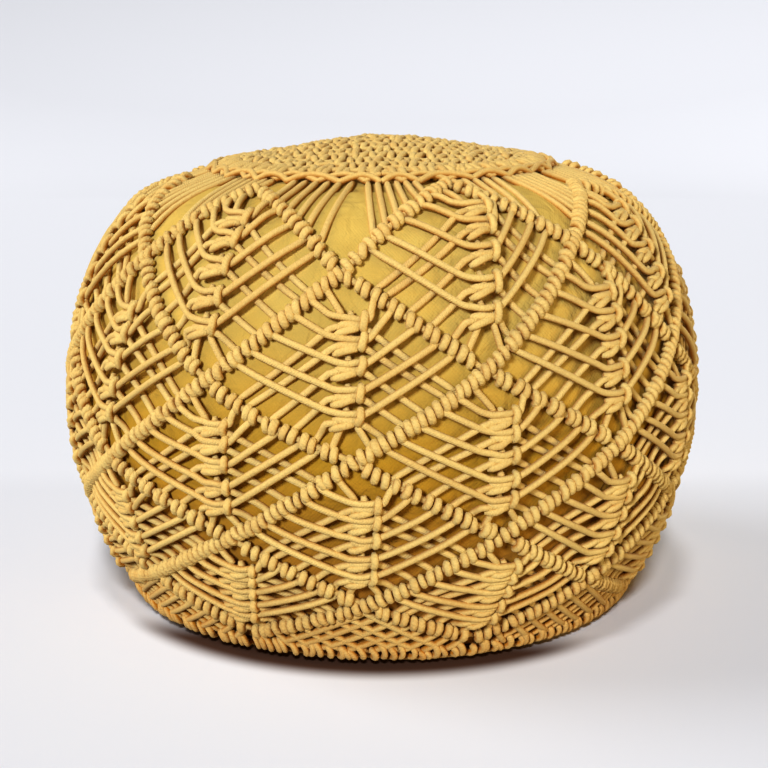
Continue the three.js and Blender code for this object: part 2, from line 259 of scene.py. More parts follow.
def on_pouf(turn, down, lift):
    """Points at a turn, a length down and a lift off the canvas.

    Radius and height are the profile's plus the lift along its normal. The height also grows a
    little to the right, because the whole pouf leans.
    """
    radius = radius_at(down) + lift * np.interp(down, PROFILE_LENGTH, PROFILE_OUT)
    level = np.interp(down, PROFILE_LENGTH, PROFILE_HEIGHT)
    height = level + lift * np.interp(down, PROFILE_LENGTH, PROFILE_UP)
    angle = np.radians(turn)
    x = radius * np.sin(angle)
    y = -radius * np.cos(angle)
    return np.stack(np.broadcast_arrays(x, y, height * (1 + LEAN * x)), axis=-1)


def outward(turn, down, lift):
    """Directions straight off the canvas."""
    return unit(on_pouf(turn, down, lift + MM) - on_pouf(turn, down, lift))


def moved(turn, down, across, below):
    """A place moved across and down by lengths on the canvas."""
    return turn + np.degrees(across / radius_at(down)), down + below


def between(start, stop, share, lift):
    """Places part of the way from one column to another, with a lift in millimetres."""
    turn = start[0] + share * (stop[0] - start[0])
    return turn, start[1] + share * (stop[1] - start[1]), lift * MM


FINE_STEPS = 181
FINE_ROWS = np.linspace(0, LAST_ROW, FINE_STEPS)
FINE_DOWN = smooth(ROW_DOWN[None], FINE_STEPS)[0]
FINE_PULL = smooth(ROW_PULL[None], FINE_STEPS)[0]


def make_strays():
    """How far the net strays across and below at each row and half step; the mean between nodes."""
    stray = np.zeros((LAST_ROW + 1, PLACES, 2))
    stray[..., 0] = ROW_DRIFT[:, None]
    for row, repeat, across, below in NODE_STRAY:
        stray[row, (2 * repeat + row % 2) % PLACES] = across * MM, below * MM
    mean = (np.roll(stray, 1, axis=1) + np.roll(stray, -1, axis=1)) / 2
    row, place = np.indices(stray.shape[:2])
    return np.where(((row + place) % 2)[..., None], mean, stray)


STRAYS = make_strays()


def on_net(row, turn):
    """Turn and length down of a place of the net, from its row, whole or not, and its even turn.

    The rows are pulled up on two sides of the pouf, and the strays of the four nearest places are
    mixed by how near each is.
    """
    row, turn = np.broadcast_arrays(row, turn)
    pull = np.interp(row, FINE_ROWS, FINE_PULL) * np.cos(np.radians(2 * (turn - PULL_TURN)))
    down = np.interp(row, FINE_ROWS, FINE_DOWN) - pull
    place = (turn - FIRST_TURN) / HALF_STEP
    above = np.clip(np.floor(row), 0, LAST_ROW - 1).astype(int)
    left = np.floor(place).astype(int)
    low, far = (row - above)[..., None], (place - left)[..., None]
    left, right = left % PLACES, (left + 1) % PLACES
    stray = ((1 - low) * ((1 - far) * STRAYS[above, left] + far * STRAYS[above, right])
             + low * ((1 - far) * STRAYS[above + 1, left] + far * STRAYS[above + 1, right]))
    return moved(turn, down + stray[..., 1], stray[..., 0], 0)


# Cords and pieces

class Tubes(NamedTuple):
    """Points, four-sided faces, end faces, the faces' places along and round the cord, and a tint."""

    points: np.ndarray
    quads: np.ndarray
    ends: np.ndarray
    quad_uv: np.ndarray
    tint: np.ndarray


def ring_faces(index):
    """Four-sided faces between each two rings, from the points' numbers by ring and place round it."""
    after = np.roll(index, -1, axis=-1)
    corners = [index[..., :-1, :], after[..., :-1, :], after[..., 1:, :], index[..., 1:, :]]
    return np.stack(corners, axis=-1)


def tube(centre, out, width, rng, sides=CORD_SIDES):
    """Closed cords along rows of points.

    A ring's point is the centre plus half the width times side by cosine plus outward by sine, both
    square to the path. The first and last rings are smaller, so a cord has a rounded tip.
    """
    count, steps = centre.shape[:2]
    along = unit(np.gradient(centre, axis=1))
    side = unit(np.cross(out, along))
    up = np.cross(along, side)
    angle = np.linspace(0, 2 * np.pi, sides, endpoint=False)
    half = np.full((count, steps), 0.5) * width
    half[:, [0, -1]] *= TIP_SHARE
    ring = side[:, :, None] * np.cos(angle)[:, None] + up[:, :, None] * np.sin(angle)[:, None]
    points = centre[:, :, None] + half[:, :, None, None] * ring
    index = np.arange(count * steps * sides).reshape(count, steps, sides)
    quads = ring_faces(index)
    ends = np.concatenate([index[:, 0, ::-1], index[:, -1]])
    hops = np.linalg.norm(np.diff(centre, axis=1), axis=-1)
    length = np.concatenate([np.zeros((count, 1)), np.cumsum(hops, axis=1)], axis=1) / MM
    start = np.broadcast_to(length[:, :-1, None], quads.shape[:3])
    stop = np.broadcast_to(length[:, 1:, None], quads.shape[:3])
    left = np.broadcast_to(np.arange(sides) / sides, quads.shape[:3])
    right = left + 1 / sides
    uv = np.stack([start, left, start, right, stop, right, stop, left], axis=-1)
    tint = np.repeat(rng.random(count), steps * sides)
    return Tubes(points.reshape(-1, 3), quads.reshape(-1, 4), ends, uv.reshape(-1, 2), tint)


def lay(columns, width, steps, rng):
    """Cords through columns of places; a column is turns, lengths down and lifts, one for each cord."""
    curves = []
    for values in zip(*columns):
        table = np.stack(np.broadcast_arrays(*values), axis=-1)
        curves.append(table.reshape(-1, len(columns)))
    spread = np.broadcast_shapes(*(c.shape for c in curves))
    turn, down, lift = (smooth(np.broadcast_to(c, spread), steps) for c in curves)
    return tube(on_pouf(turn, down, lift), outward(turn, down, lift), width, rng)


def make_mesh(name, points, faces, uv, tint):
    """A smooth mesh from points, tables of faces by their corners, and its two maps."""
    corners = np.concatenate([table.ravel() for table in faces])
    counts = np.concatenate([np.full(len(table), table.shape[1]) for table in faces])
    starts = np.concatenate([[0], np.cumsum(counts)[:-1]])
    mesh = bpy.data.meshes.new(name)
    mesh.vertices.add(len(points))
    mesh.vertices.foreach_set("co", np.ascontiguousarray(points, np.float32).ravel())
    mesh.loops.add(len(corners))
    mesh.loops.foreach_set("vertex_index", corners.astype(np.int32))
    mesh.polygons.add(len(counts))
    mesh.polygons.foreach_set("loop_start", starts.astype(np.int32))
    mesh.polygons.foreach_set("use_smooth", np.ones(len(counts), bool))
    mesh.update(calc_edges=True)
    mesh.uv_layers.new(name="Cloth").data.foreach_set("uv", uv.astype(np.float32).ravel())
    mesh.attributes.new("tint", "FLOAT", "POINT").data.foreach_set("value", tint.astype(np.float32))
    if mesh.validate():
        raise RuntimeError(f"{name} has faces that can't be used")
    return mesh


def place_piece(mesh, material, slot, *nodes):
    """The finished piece, riding on the pouf in place of its solids."""
    mesh.materials.append(material)
    piece = bpy.data.objects.new(mesh.name, mesh)
    bpy.context.scene.collection.objects.link(piece)
    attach(piece, "root")
    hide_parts(*nodes)
    return piece


def cord_piece(name, tubes, *nodes):
    """One piece from many cords, in the cord's material."""
    first = np.cumsum([0] + [len(t.points) for t in tubes])
    faces = [t.quads + n for t, n in zip(tubes, first)] + [t.ends + n for t, n in zip(tubes, first)]
    uv = [t.quad_uv for t in tubes] + [np.zeros((t.ends.size, 2)) for t in tubes]
    points = np.concatenate([t.points for t in tubes])
    tint = np.concatenate([t.tint for t in tubes])
    mesh = make_mesh(name, points, faces, np.concatenate(uv), tint)
    place_piece(mesh, cotton_cord(), "cotton_cord", *nodes)


# Materials

def add_node(tree, kind, inputs=None, **settings):
    """Adds a node with its inputs as values or as links, and its settings, and gives its outputs."""
    made = tree.nodes.new("ShaderNode" + kind)
    for name, value in settings.items():
        setattr(made, name, value)
    for name, value in (inputs or {}).items():
        if isinstance(value, bpy.types.NodeSocket):
            tree.links.new(value, made.inputs[name])
        else:
            made.inputs[name].default_value = value
    return made.outputs


def new_material(name):
    """An empty node material, and add_node for its own tree."""
    material = bpy.data.materials.new(name)
    material.use_nodes = True
    material.node_tree.nodes.clear()
    return material, partial(add_node, material.node_tree)


# What cord and canvas share: matt fibres with a soft pale fur
COTTON = {
    "IOR": 1.45, "Specular IOR Level": 0.2, "Sheen Roughness": 0.6, "Sheen Tint": linear("#f6dfae"),
}


def cotton_cord():
    """Soft cotton cord, piece dyed: matt and faintly furry, so edges glow and no highlight forms.

    The plies wind round the cord every 7 mm and show as faint slanting grooves. Short fibres stand
    about 0.3 mm apart, which is drawn as 1.5 mm so that it shows. The colour is painted lighter on
    the side that faces out, and painted darker, as shade, on the side against the canvas. The lowest
    100 mm are painted darker too, as shade, more and more towards the foot.
    """
    name = "cotton cord"
    if name in bpy.data.materials:
        return bpy.data.materials[name]
    colours = bpy.context.scene.pouf_colours
    ply_length = 7
    ply_count = 4
    ply_depth = 0.12
    fibre = 1.5 * MM
    patch = 26 * MM
    patch_share = 0.3
    speckle_share = 0.18
    low_shade_height = 100 * MM
    material, add = new_material(name)
    place = add("TexCoord")
    height = add("SeparateXYZ", {"Vector": place["Object"]})["Z"]
    across = add("SeparateXYZ", {"Vector": place["UV"]})

    # Uneven dye, from cord to cord, in patches and in specks
    tint = add("Attribute", attribute_name="tint")["Fac"]
    patches = add("TexNoise", {"Vector": place["Object"], "Scale": 1 / patch, "Detail": 3.0})["Fac"]
    fibres = add("TexNoise", {
        "Vector": place["Object"], "Scale": 1 / fibre, "Detail": 2.0, "Roughness": 0.7})["Fac"]
    speckle = add("MapRange", {"Value": fibres, "From Min": 0.3, "From Max": 0.7})[0]
    tinted = add("Math", {0: tint, 1: patch_share}, operation="MULTIPLY")[0]
    uneven = add("Math", {0: tinted, 1: patches}, operation="MULTIPLY")[0]
    both = add("Math", {0: speckle, 1: speckle_share, 2: uneven}, operation="MULTIPLY_ADD")[0]

    # Painted shade: darker on the side against the canvas and towards the foot, lighter facing out
    round_turn = add("Math", {0: across["Y"], 1: 2 * math.pi}, operation="MULTIPLY")[0]
    facing = add("Math", {0: round_turn}, operation="SINE")[0]
    # Painted shade round each cord: darkest where it faces the canvas, lightest where it faces out
    painted_inner_shade = add("MapRange", {
        "Value": facing, "From Min": 0.7, "From Max": -0.5, "To Max": 0.85})[0]
    # Painted shade: darker over the lowest 100 mm, most at the foot
    low = add("MapRange", {
        "Value": height, "From Min": low_shade_height, "From Max": 0.0, "To Max": 0.65})[0]
    # The random uneven dye plus the painted shade make the mix towards the deeper colour
    lower = add("Math", {0: low, 1: low, 2: both}, operation="MULTIPLY_ADD")[0]
    depth = add("Math", {0: lower, 1: painted_inner_shade}, operation="ADD", use_clamp=True)[0]
    dye = add("Mix", {"Factor": depth, 6: colours.cord, 7: colours.cord_deep_and_shade}, data_type="RGBA")[2]

    # Plies and fibres in relief
    turn = add("Math", {
        0: across["X"], 1: 1 / ply_length, 2: across["Y"]}, operation="MULTIPLY_ADD")[0]
    wave = add("Math", {0: turn, 1: 2 * math.pi * ply_count}, operation="MULTIPLY")[0]
    plies = add("Math", {0: wave}, operation="SINE")[0]
    relief = add("Math", {0: plies, 1: ply_depth, 2: fibres}, operation="MULTIPLY_ADD")[0]
    bump = add("Bump", {"Strength": 0.6, "Distance": 1.2 * MM, "Height": relief})[0]
    fur = add("MapRange", {"Value": fibres, "To Min": 0.8, "To Max": 0.98})[0]
    cloth = add("BsdfPrincipled", {
        **COTTON, "Base Color": dye, "Roughness": fur, "Sheen Weight": 0.25, "Normal": bump})[0]
    add("OutputMaterial", {"Surface": cloth})
    return material


def cotton_canvas():
    """Tight plain-woven cotton canvas, dyed with the cord: smooth, matt and a little yellower.

    Threads lie 0.7 mm apart, drawn as 1.4 mm so that the weave shows. The cloth is a little creased
    every 14 mm or so. The lower half, which the net covers, is painted darker as shade, and it is
    redder and darker still near the foot.
    """
    colours = bpy.context.scene.pouf_colours
    thread = 1.4
    crease = 14 * MM
    patch = 40 * MM
    shade_top_height, covered_height, lowest_height = 260 * MM, 160 * MM, 60 * MM
    material, add = new_material("cotton canvas")
    place = add("TexCoord")
    height = add("SeparateXYZ", {"Vector": place["Object"]})["Z"]
    across = add("SeparateXYZ", {"Vector": place["UV"]})

    # Dye in patches, and painted shade: darker in two steps down the cushion
    patches = add("TexNoise", {"Vector": place["Object"], "Scale": 1 / patch, "Detail": 4.0})["Fac"]
    dye = add("Mix", {
        "Factor": patches, 6: colours.canvas, 7: linear("#cbb05b")}, data_type="RGBA")[2]
    # bb9732 and #ac7c2c are painted shade, darker lower down where the net covers the canvas
    for high, low, deeper in ((shade_top_height, covered_height, "#bb9732"),
                              (covered_height, lowest_height, "#ac7c2c")):
        share = add("MapRange", {"Value": height, "From Min": high, "From Max": low})[0]
        dye = add("Mix", {"Factor": share, 6: dye, 7: linear(deeper)}, data_type="RGBA")[2]

    # Weave and creases in relief
    threads = []
    for axis in ("X", "Y"):
        wave = add("Math", {0: across[axis], 1: math.pi / thread}, operation="MULTIPLY")[0]
        threads.append(add("Math", {0: wave}, operation="SINE")[0])
    weave = add("Math", dict(enumerate(threads)), operation="MULTIPLY")[0]
    creases = add("TexNoise", {
        "Vector": place["Object"], "Scale": 1 / crease, "Detail": 2.0, "Distortion": 1.0})["Fac"]
    hollows = add("Bump", {"Strength": 0.5, "Distance": 5 * MM, "Height": creases})[0]
    bump = add("Bump", {
        "Strength": 0.25, "Distance": 0.3 * MM, "Height": weave, "Normal": hollows})[0]
    thread_gloss = add("MapRange", {
        "Value": weave, "From Min": -1.0, "To Min": 0.95, "To Max": 0.8})[0]
    cloth = add("BsdfPrincipled", {
        **COTTON, "Base Color": dye, "Roughness": thread_gloss, "Sheen Weight": 0.08, "Normal": bump})[0]
    add("OutputMaterial", {"Surface": cloth})
    return material


def matt_paper():
    """Matt studio paper: even, pale and without any shine.

    It lies in two sheets, and the far one is greyer where it turns up. Under the front of the belly
    the near one is toned brown, for the deep shade between the foot and the floor.
    """
    colours = bpy.context.scene.pouf_colours
    fold, soft_edge = 0.27, 0.05
    turn_start, turn_end = 3.0, 3.9
    shade_reach, shade_full = 228 * MM, 204 * MM
    shade_side, shade_front = -115 * MM, -165 * MM
    shade_turn = 0.12
    soft = {"interpolation_type": "SMOOTHSTEP"}
    material, add = new_material("matt paper")
    place = add("TexCoord")["Object"]
    across = add("SeparateXYZ", {"Vector": place})

    # The two sheets
    far = add("MapRange", {
        "Value": across["Y"], "From Min": fold - soft_edge, "From Max": fold + soft_edge}, **soft)[0]
    turned = add("MapRange", {
        "Value": across["Y"], "From Min": turn_start, "From Max": turn_end})[0]
    sheet = add("Mix", {
        "Factor": turned, 6: linear("#e9eaef"), 7: linear("#dadbe0")}, data_type="RGBA")[2]
    tone = add("Mix", {"Factor": far, 6: colours.floor, 7: sheet}, data_type="RGBA")[2]

    # The shade under the front of the belly
    reach = add("VectorMath", {0: place}, operation="LENGTH")["Value"]
    under = add("MapRange", {"Value": reach, "From Min": shade_reach, "From Max": shade_full}, **soft)[0]
    nearness = add("Math", {
        0: across["X"], 1: shade_turn, 2: across["Y"]}, operation="MULTIPLY_ADD")[0]
    front = add("MapRange", {
        "Value": nearness, "From Min": shade_side, "From Max": shade_front}, **soft)[0]
    shade = add("Math", {0: under, 1: front}, operation="MULTIPLY")[0]
    shaded = add("Mix", {"Factor": shade, 6: tone, 7: linear("#594135")}, data_type="RGBA")[2]
    paper = add("BsdfPrincipled", {
        "Base Color": shaded, "Roughness": 0.95, "Specular IOR Level": 0.1})[0]
    add("OutputMaterial", {"Surface": paper})
    return material


# Operators, one for each piece or group of like pieces

def sizes_and_scatter(context):
    """The sizes set in the scene, and a fresh seeded source of the small strays of hand work."""
    return context.scene.pouf_sizes, np.random.default_rng(SEED)


class POUF_OT_cushion(Operator):
    """Filled canvas cushion, drawn in under the strands of the net and swelling between its top fans"""

    bl_idname = "pouf.cushion"
    bl_label = "Canvas cushion"

    around = 192
    along = 120
    swell = 2.0 * MM
    drawn_in = 2.8 * MM
    loose_row, held_row = 0.5, 1.5
    under_panel = 8.0 * MM
    hollow_start, hollow_end = PANEL_EDGE - 40 * MM, PANEL_EDGE - 5 * MM
    # Corners of a face in the order that turns it outwards
    facing_out = [0, 3, 2, 1]

    def execute(self, context):
        """A surface of turn and length down, whose rise is a product of two sines, nil on the bars.

        In the diamonds it lies below the even profile by the rise's root, and between the top fans
        above it by the rise. Under the top panel it lies low, so that the panel's slits are deep.
        """
        turn = np.linspace(0, 360, self.around, endpoint=False)[None]
        down = np.linspace(0, PROFILE_LENGTH[-1], self.along)[1:-1, None]
        row = np.interp(down, FINE_DOWN, FINE_ROWS)
        place = (turn - FIRST_TURN) / HALF_STEP
        rise = np.abs(np.sin(np.pi / 2 * (place + row)) * np.sin(np.pi / 2 * (place - row)))
        netted = (down > ROW_DOWN[0]) & (down < ROW_DOWN[-1])
        held = smoothstep(row, self.loose_row, self.held_row)
        depth = held * self.drawn_in * np.sqrt(rise) - (1 - held) * self.swell * rise
        hollow = self.under_panel * (1 - smoothstep(down, self.hollow_start, self.hollow_end))
        points = on_pouf(turn, down, np.where(netted, -depth, -hollow))
        poles = on_pouf(0, np.array([0, PROFILE_LENGTH[-1]]), np.array([-self.under_panel, 0]))
        index = np.arange(len(down) * self.around).reshape(len(down), self.around)
        quads = ring_faces(index)[..., self.facing_out].reshape(-1, 4)
        first, last = index[0], index[-1]
        top = np.stack([np.full(self.around, index.size), first, np.roll(first, -1)], axis=-1)
        foot = np.stack([np.full(self.around, index.size + 1), np.roll(last, -1), last], axis=-1)
        faces = [quads, top, foot]
        width = np.radians(turn) * CUSHION_RADIUS / MM
        cloth = np.stack(np.broadcast_arrays(width, down / MM), axis=-1).reshape(-1, 2)
        cloth = np.concatenate([cloth, [[0, 0], [0, PROFILE_LENGTH[-1] / MM]]])
        mesh = make_mesh(
            "inner_cushion_canvas",
            np.concatenate([points.reshape(-1, 3), poles]),
            faces,
            np.concatenate([cloth[table].reshape(-1, 2) for table in faces]),
            np.zeros(index.size + 2),
        )
        piece = place_piece(mesh, cotton_canvas(), "canvas", "inner_cushion")
        return {"FINISHED"}


class POUF_OT_bars(Operator):
    """Sixteen slanting bars of double half hitches, each on a holding cord"""

    bl_idname = "pouf.bars"
    bl_label = "Hitched bars"

    hold_lift = 2.8 * MM
    rise = 4.0 * MM
    reach = 3.9 * MM
    reach_angle = np.radians(108)
    wrap_width = 5.7 * MM
    wrap_steps = 7
    pair_gap = 5.8 * MM
    upright = 0.4
    falling_stretch = 1.14
    crossing_gap = 6.5 * MM
    row_stray, lean_stray, width_stray = 0.005, 0.2, 0.06
    nudge = 0.02

    def hitch_rows(self, spacing):
        """Rows at which a bar's wraps lie, and whether each is clear of the crossings.

        They lie in pairs at an even spacing along the bar's own length.
        """
        turn = FIRST_TURN + HALF_STEP * FINE_ROWS
        points = on_pouf(turn, FINE_DOWN, 0)
        length = np.concatenate([[0], np.cumsum(np.linalg.norm(np.diff(points, axis=0), axis=-1))])
        count = int(length[-1] / spacing)
        pairs = (np.arange(count) + 0.5) * length[-1] / count
        wraps = (pairs[:, None] + self.pair_gap / 2 * np.array([-1, 1])).ravel()
        node = np.interp(np.arange(LAST_ROW + 1), FINE_ROWS, length)
        clear = np.abs(wraps[:, None] - node).min(axis=1) > self.crossing_gap
        return np.interp(wraps, length, FINE_ROWS), clear

    def wraps(self, slope, row, sizes, rng):
        """Hitches as arcs over the holding cord: lift by cosine and reach by sine of an angle."""
        row = row + rng.normal(0, self.row_stray, (REPEATS, row.size))
        even = APEX_TURN + slope * HALF_STEP * row
        turn, down = on_net(row, even)
        down = down + rng.normal(0, sizes.slack / 2, down.shape)
        place = on_pouf(turn, down, self.hold_lift)
        ahead = on_net(row + self.nudge, even + slope * HALF_STEP * self.nudge)
        along = unit(on_pouf(*ahead, self.hold_lift) - place)
        out = outward(turn, down, self.hold_lift)
        below = unit(on_pouf(turn, down + MM, self.hold_lift) - place)
        square = unit(np.cross(along, out)) * slope
        lean = self.upright + rng.normal(0, self.lean_stray, row.shape)[..., None]
        over = unit(square * (1 - lean) + below * lean)
        angle = np.linspace(-self.reach_angle, self.reach_angle, self.wrap_steps)[:, None]
        place, out, over = (v.reshape(-1, 1, 3) for v in (place, out, over))
        spoke = out * self.rise * np.cos(angle) + over * self.reach * np.sin(angle)
        width = self.wrap_width * (1 + rng.normal(0, self.width_stray, (len(place), 1)))
        return tube(place + spoke, unit(spoke), width, rng)

    def holding_cords(self, slope, sizes, rng):
        """The cords under the hitches, one along each bar."""
        row = FINE_ROWS[None, ::2]
        turn, down = on_net(row, APEX_TURN + slope * HALF_STEP * row)
        path = on_pouf(turn, down, self.hold_lift)
        return tube(path, outward(turn, down, 0), sizes.cord, rng, HIDDEN_SIDES)

    def execute(self, context):
        sizes, rng = sizes_and_scatter(context)
        rising, _ = self.hitch_rows(sizes.hitch_spacing)
        falling, clear = self.hitch_rows(sizes.hitch_spacing * self.falling_stretch)
        for name, slope, rows in (("rising_bars", -1, rising), ("falling_bars", 1, falling[clear])):
            cords = [self.wraps(slope, rows, sizes, rng), self.holding_cords(slope, sizes, rng)]
            cord_piece(name, cords, "side_net")
        return {"FINISHED"}


class Diamonds:
    """Places in the forty diamonds between the bars, five knots to each."""

    upper_share = np.array([0.25, 0.38, 0.55, 0.70, 0.81])
    lower_share = np.array([0.22, 0.29, 0.455, 0.60, 0.75])
    knot_share = np.array([0.245, 0.350, 0.475, 0.615, 0.740])
    knot_shift = np.array([7.0, 5.5, 4.0, 2.0, 0.0]) * MM
    full_pitch = 16.5 * MM
    most_stretch = 1.1

    def __init__(self, sizes, rng):
        row, repeat = np.meshgrid(np.arange(DIAMOND_ROWS), np.arange(REPEATS), indexing="ij")
        self.row = row.reshape(-1, 1).astype(float)
        self.turn = FIRST_TURN + STEP * (repeat + row % 2 / 2).reshape(-1, 1)
        self.rng = rng
        self.slack = sizes.slack
        top_turn, top_down = on_net(self.row, self.turn)
        foot_turn, foot_down = on_net(self.row + 2, self.turn)
        turn = top_turn + self.knot_share * (foot_turn - top_turn)
        down = top_down + self.knot_share * (foot_down - top_down)
        self.knot_turn, self.knot_down = moved(turn, down, self.knot_shift, 0)
        pitch = np.diff(self.knot_down, axis=1).mean(axis=1, keepdims=True)
        self.squash = np.minimum(pitch / self.full_pitch, self.most_stretch)

    def knot(self, across, below, lift):
        """A place near each knot, in millimetres from its middle; low diamonds are squashed."""
        stray = self.rng.normal(0, self.slack / 2, (2, *self.knot_down.shape))
        turn, down = moved(self.knot_turn, self.knot_down,
                           across * MM + stray[0], below * MM * self.squash + stray[1])
        return turn, down, lift * MM

    def upper_bar(self, side, share, lift):
        """Places on the bar above the knots; side is -1 for the left one and 1 for the right one."""
        return (*on_net(self.row + share, self.turn + side * HALF_STEP * share), lift * MM)

    def lower_bar(self, side, share, lift):
        """Places on the bar below the knots, as shares of its length from the side corner."""
        return (*on_net(self.row + 1 + share, self.turn + side * HALF_STEP * (1 - share)), lift * MM)


class POUF_OT_strands(Operator):
    """Cords that slant from the bars to the knots and on to the bars below"""

    bl_idname = "pouf.strands"
    bl_label = "Slanting strands"

    # Each route has a side, steps, shares of the way between bar and knot with their lifts, and places
    # at the knot as across, below and lift in millimetres, of which the first meets the slanting length
    over_routes = (
        (-1, 17, ((0.35, 6.0), (0.7, 6.4)),
         ((-16, -3.2, 6.2), (-9, -0.6, 6.8), (-2, 0.2, 7.6), (5, 0, 6.8), (9, 0.2, 3.5))),
        (1, 13, ((0.33, 6.0), (0.67, 6.4)), ((11, -0.4, 5.8), (6, 2.0, 4.4))),
    )
    under_routes = (
        (-1, 13, ((0.25, 2.8), (0.5, 0.6), (0.75, 0.8)),
         ((-14, 7.8, 5.8), (-3, 6.0, 4.0), (-8, 6.2, 5.6))),
        (1, 13, ((0.3, 1.4), (0.65, 0.6)), ((10, 7.4, 4.2), (5, 5.5, 3.4))),
    )
    over_bar_lift, under_bar_lift = 3.0, 2.6

    # Short cords at a diamond's head and tail: share of the bar, lifts there and half way, and place
    head_share, head_bar_lift, head_lift, head_knot = np.array([0.13]), 3.4, 5.0, (-6, -1.5, 5.2)
    tail_share, tail_bar_lift, tail_lift, tail_knot = np.array([0.86]), 2.8, 3.6, (4, 8, 4.4)
    tip_steps = 7

    def over(self, diamonds, width, rng):
        """Cords from the upper bars to the knots; those on the left bend level and cross each knot."""
        paths = []
        for side, steps, shares, places in self.over_routes:
            bar = diamonds.upper_bar(side, diamonds.upper_share, self.over_bar_lift)
            near, *rest = [diamonds.knot(*place) for place in places]
            middle = [between(bar, near, share, lift) for share, lift in shares]
            paths.append((steps, [bar, *middle, near, *rest]))
        return [lay(path, width, steps, rng) for steps, path in paths]

    def under(self, diamonds, width, rng):
        """Cords from the knots to the lower bars, beneath the others and close to the canvas."""
        paths = []
        for side, steps, shares, places in self.under_routes:
            bar = diamonds.lower_bar(side, diamonds.lower_share, self.under_bar_lift)
            near, *rest = [diamonds.knot(*place) for place in places]
            middle = [between(near, bar, share, lift) for share, lift in shares]
            paths.append((steps, [*rest, near, *middle, bar]))
        return [lay(path, width, steps, rng) for steps, path in paths]

    def tips(self, diamonds, width, rng):
        """Short cords from the bars near each diamond's corners to its first and last knots."""
        head = [part[..., :1] for part in np.broadcast_arrays(*diamonds.knot(*self.head_knot))]
        bar = diamonds.upper_bar(-1, self.head_share, self.head_bar_lift)
        path = [bar, between(bar, head, 0.5, self.head_lift), head]
        cords = [lay(path, width, self.tip_steps, rng)]
        across, below, lift = self.tail_knot
        for side in (-1, 1):
            place = diamonds.knot(across * side, below, lift)
            tail = [part[..., -1:] for part in np.broadcast_arrays(*place)]
            bar = diamonds.lower_bar(side, self.tail_share, self.tail_bar_lift)
            path = [tail, between(tail, bar, 0.5, self.tail_lift), bar]
            cords.append(lay(path, width, self.tip_steps, rng))
        return cords

    def execute(self, context):
        sizes, rng = sizes_and_scatter(context)
        diamonds = Diamonds(sizes, rng)
        cord_piece("over_strands", self.over(diamonds, sizes.cord, rng), "side_net")
        under = self.under(diamonds, sizes.cord, rng) + self.tips(diamonds, sizes.cord, rng)
        cord_piece("under_strands", under, "side_net")
        return {"FINISHED"}


class POUF_OT_knots(Operator):
    """Chains of square knots down the middles of the diamonds, each with its loop on the right"""

    bl_idname = "pouf.knots"
    bl_label = "Square knots"

    plump = 1.12
    routes = (
        # steps, then places at the knot as across, below and lift in millimetres
        (7, ((-10, 4.2, 4.4), (-4, 4.9, 6.6), (2, 4.8, 6.8), (8, 4.2, 4.6))),
        (7, ((5, 6.0, 4.6), (0.5, 7.2, 7.4), (-5, 9.2, 7.8), (-11.5, 11.2, 5.0))),
        (7, ((7.6, -4.0, 4.0), (8.0, -1.6, 8.0), (7.8, 2.0, 9.4), (7.2, 5.6, 8.2), (6.4, 8.4, 4.4))),
        (5, ((-2, -5, 3.4), (-1, 2, 4.4), (-2, 9, 3.6))),
    )

    def execute(self, context):
        """Four cords to a knot as smooth curves: the crossing, the leaf, the loop and the core."""
        sizes, rng = sizes_and_scatter(context)
        diamonds = Diamonds(sizes, rng)
        paths = [(steps, [diamonds.knot(*place) for place in places]) for steps, places in self.routes]
        cords = [lay(path, sizes.cord * self.plump, steps, rng) for steps, path in paths]
        cord_piece("square_knots", cords, "side_net")
        return {"FINISHED"}


class POUF_OT_top_fans(Operator):
    """Cords that hang from the top ring to the first bars, in two groups to each repeat"""

    bl_idname = "pouf.top_fans"
    bl_label = "Top fans"

    cords_in_group = 6
    groups = (
        # side, the first cord's share of the bar and the step to the next, and the same on the ring
        (1, 0.20, 0.118, 0.01, 0.082),
        (-1, 0.24, 0.105, 0.17, 0.062),
    )
    bar_stray = 0.012
    ring_gap = 1 * MM
    end_lift = 2.6 * MM
    middle_lift = 1.9
    middle_parts = (0.33, 0.67)
    steps = 10

    def execute(self, context):
        """Left groups slant from the ring to the falling bars, right groups hang to the rising bars."""
        sizes, rng = sizes_and_scatter(context)
        count = np.arange(self.cords_in_group)
        cords = []
        for side, bar_first, bar_step, ring_first, ring_step in self.groups:
            stray = rng.normal(0, self.bar_stray, (REPEATS, self.cords_in_group))
            share = bar_first + bar_step * count + stray
            bar = (*on_net(share, APEX_TURN + side * HALF_STEP * share), self.end_lift)
            ring_turn = APEX_TURN + side * STEP * (ring_first + ring_step * count)
            ring = (ring_turn, np.full(ring_turn.shape, RING_DOWN + self.ring_gap), self.end_lift)
            middle = [between(ring, bar, part, self.middle_lift) for part in self.middle_parts]
            cords.append(lay([ring, *middle, bar], sizes.cord, self.steps, rng))
        cord_piece("top_fans", cords, "side_net")
        return {"FINISHED"}


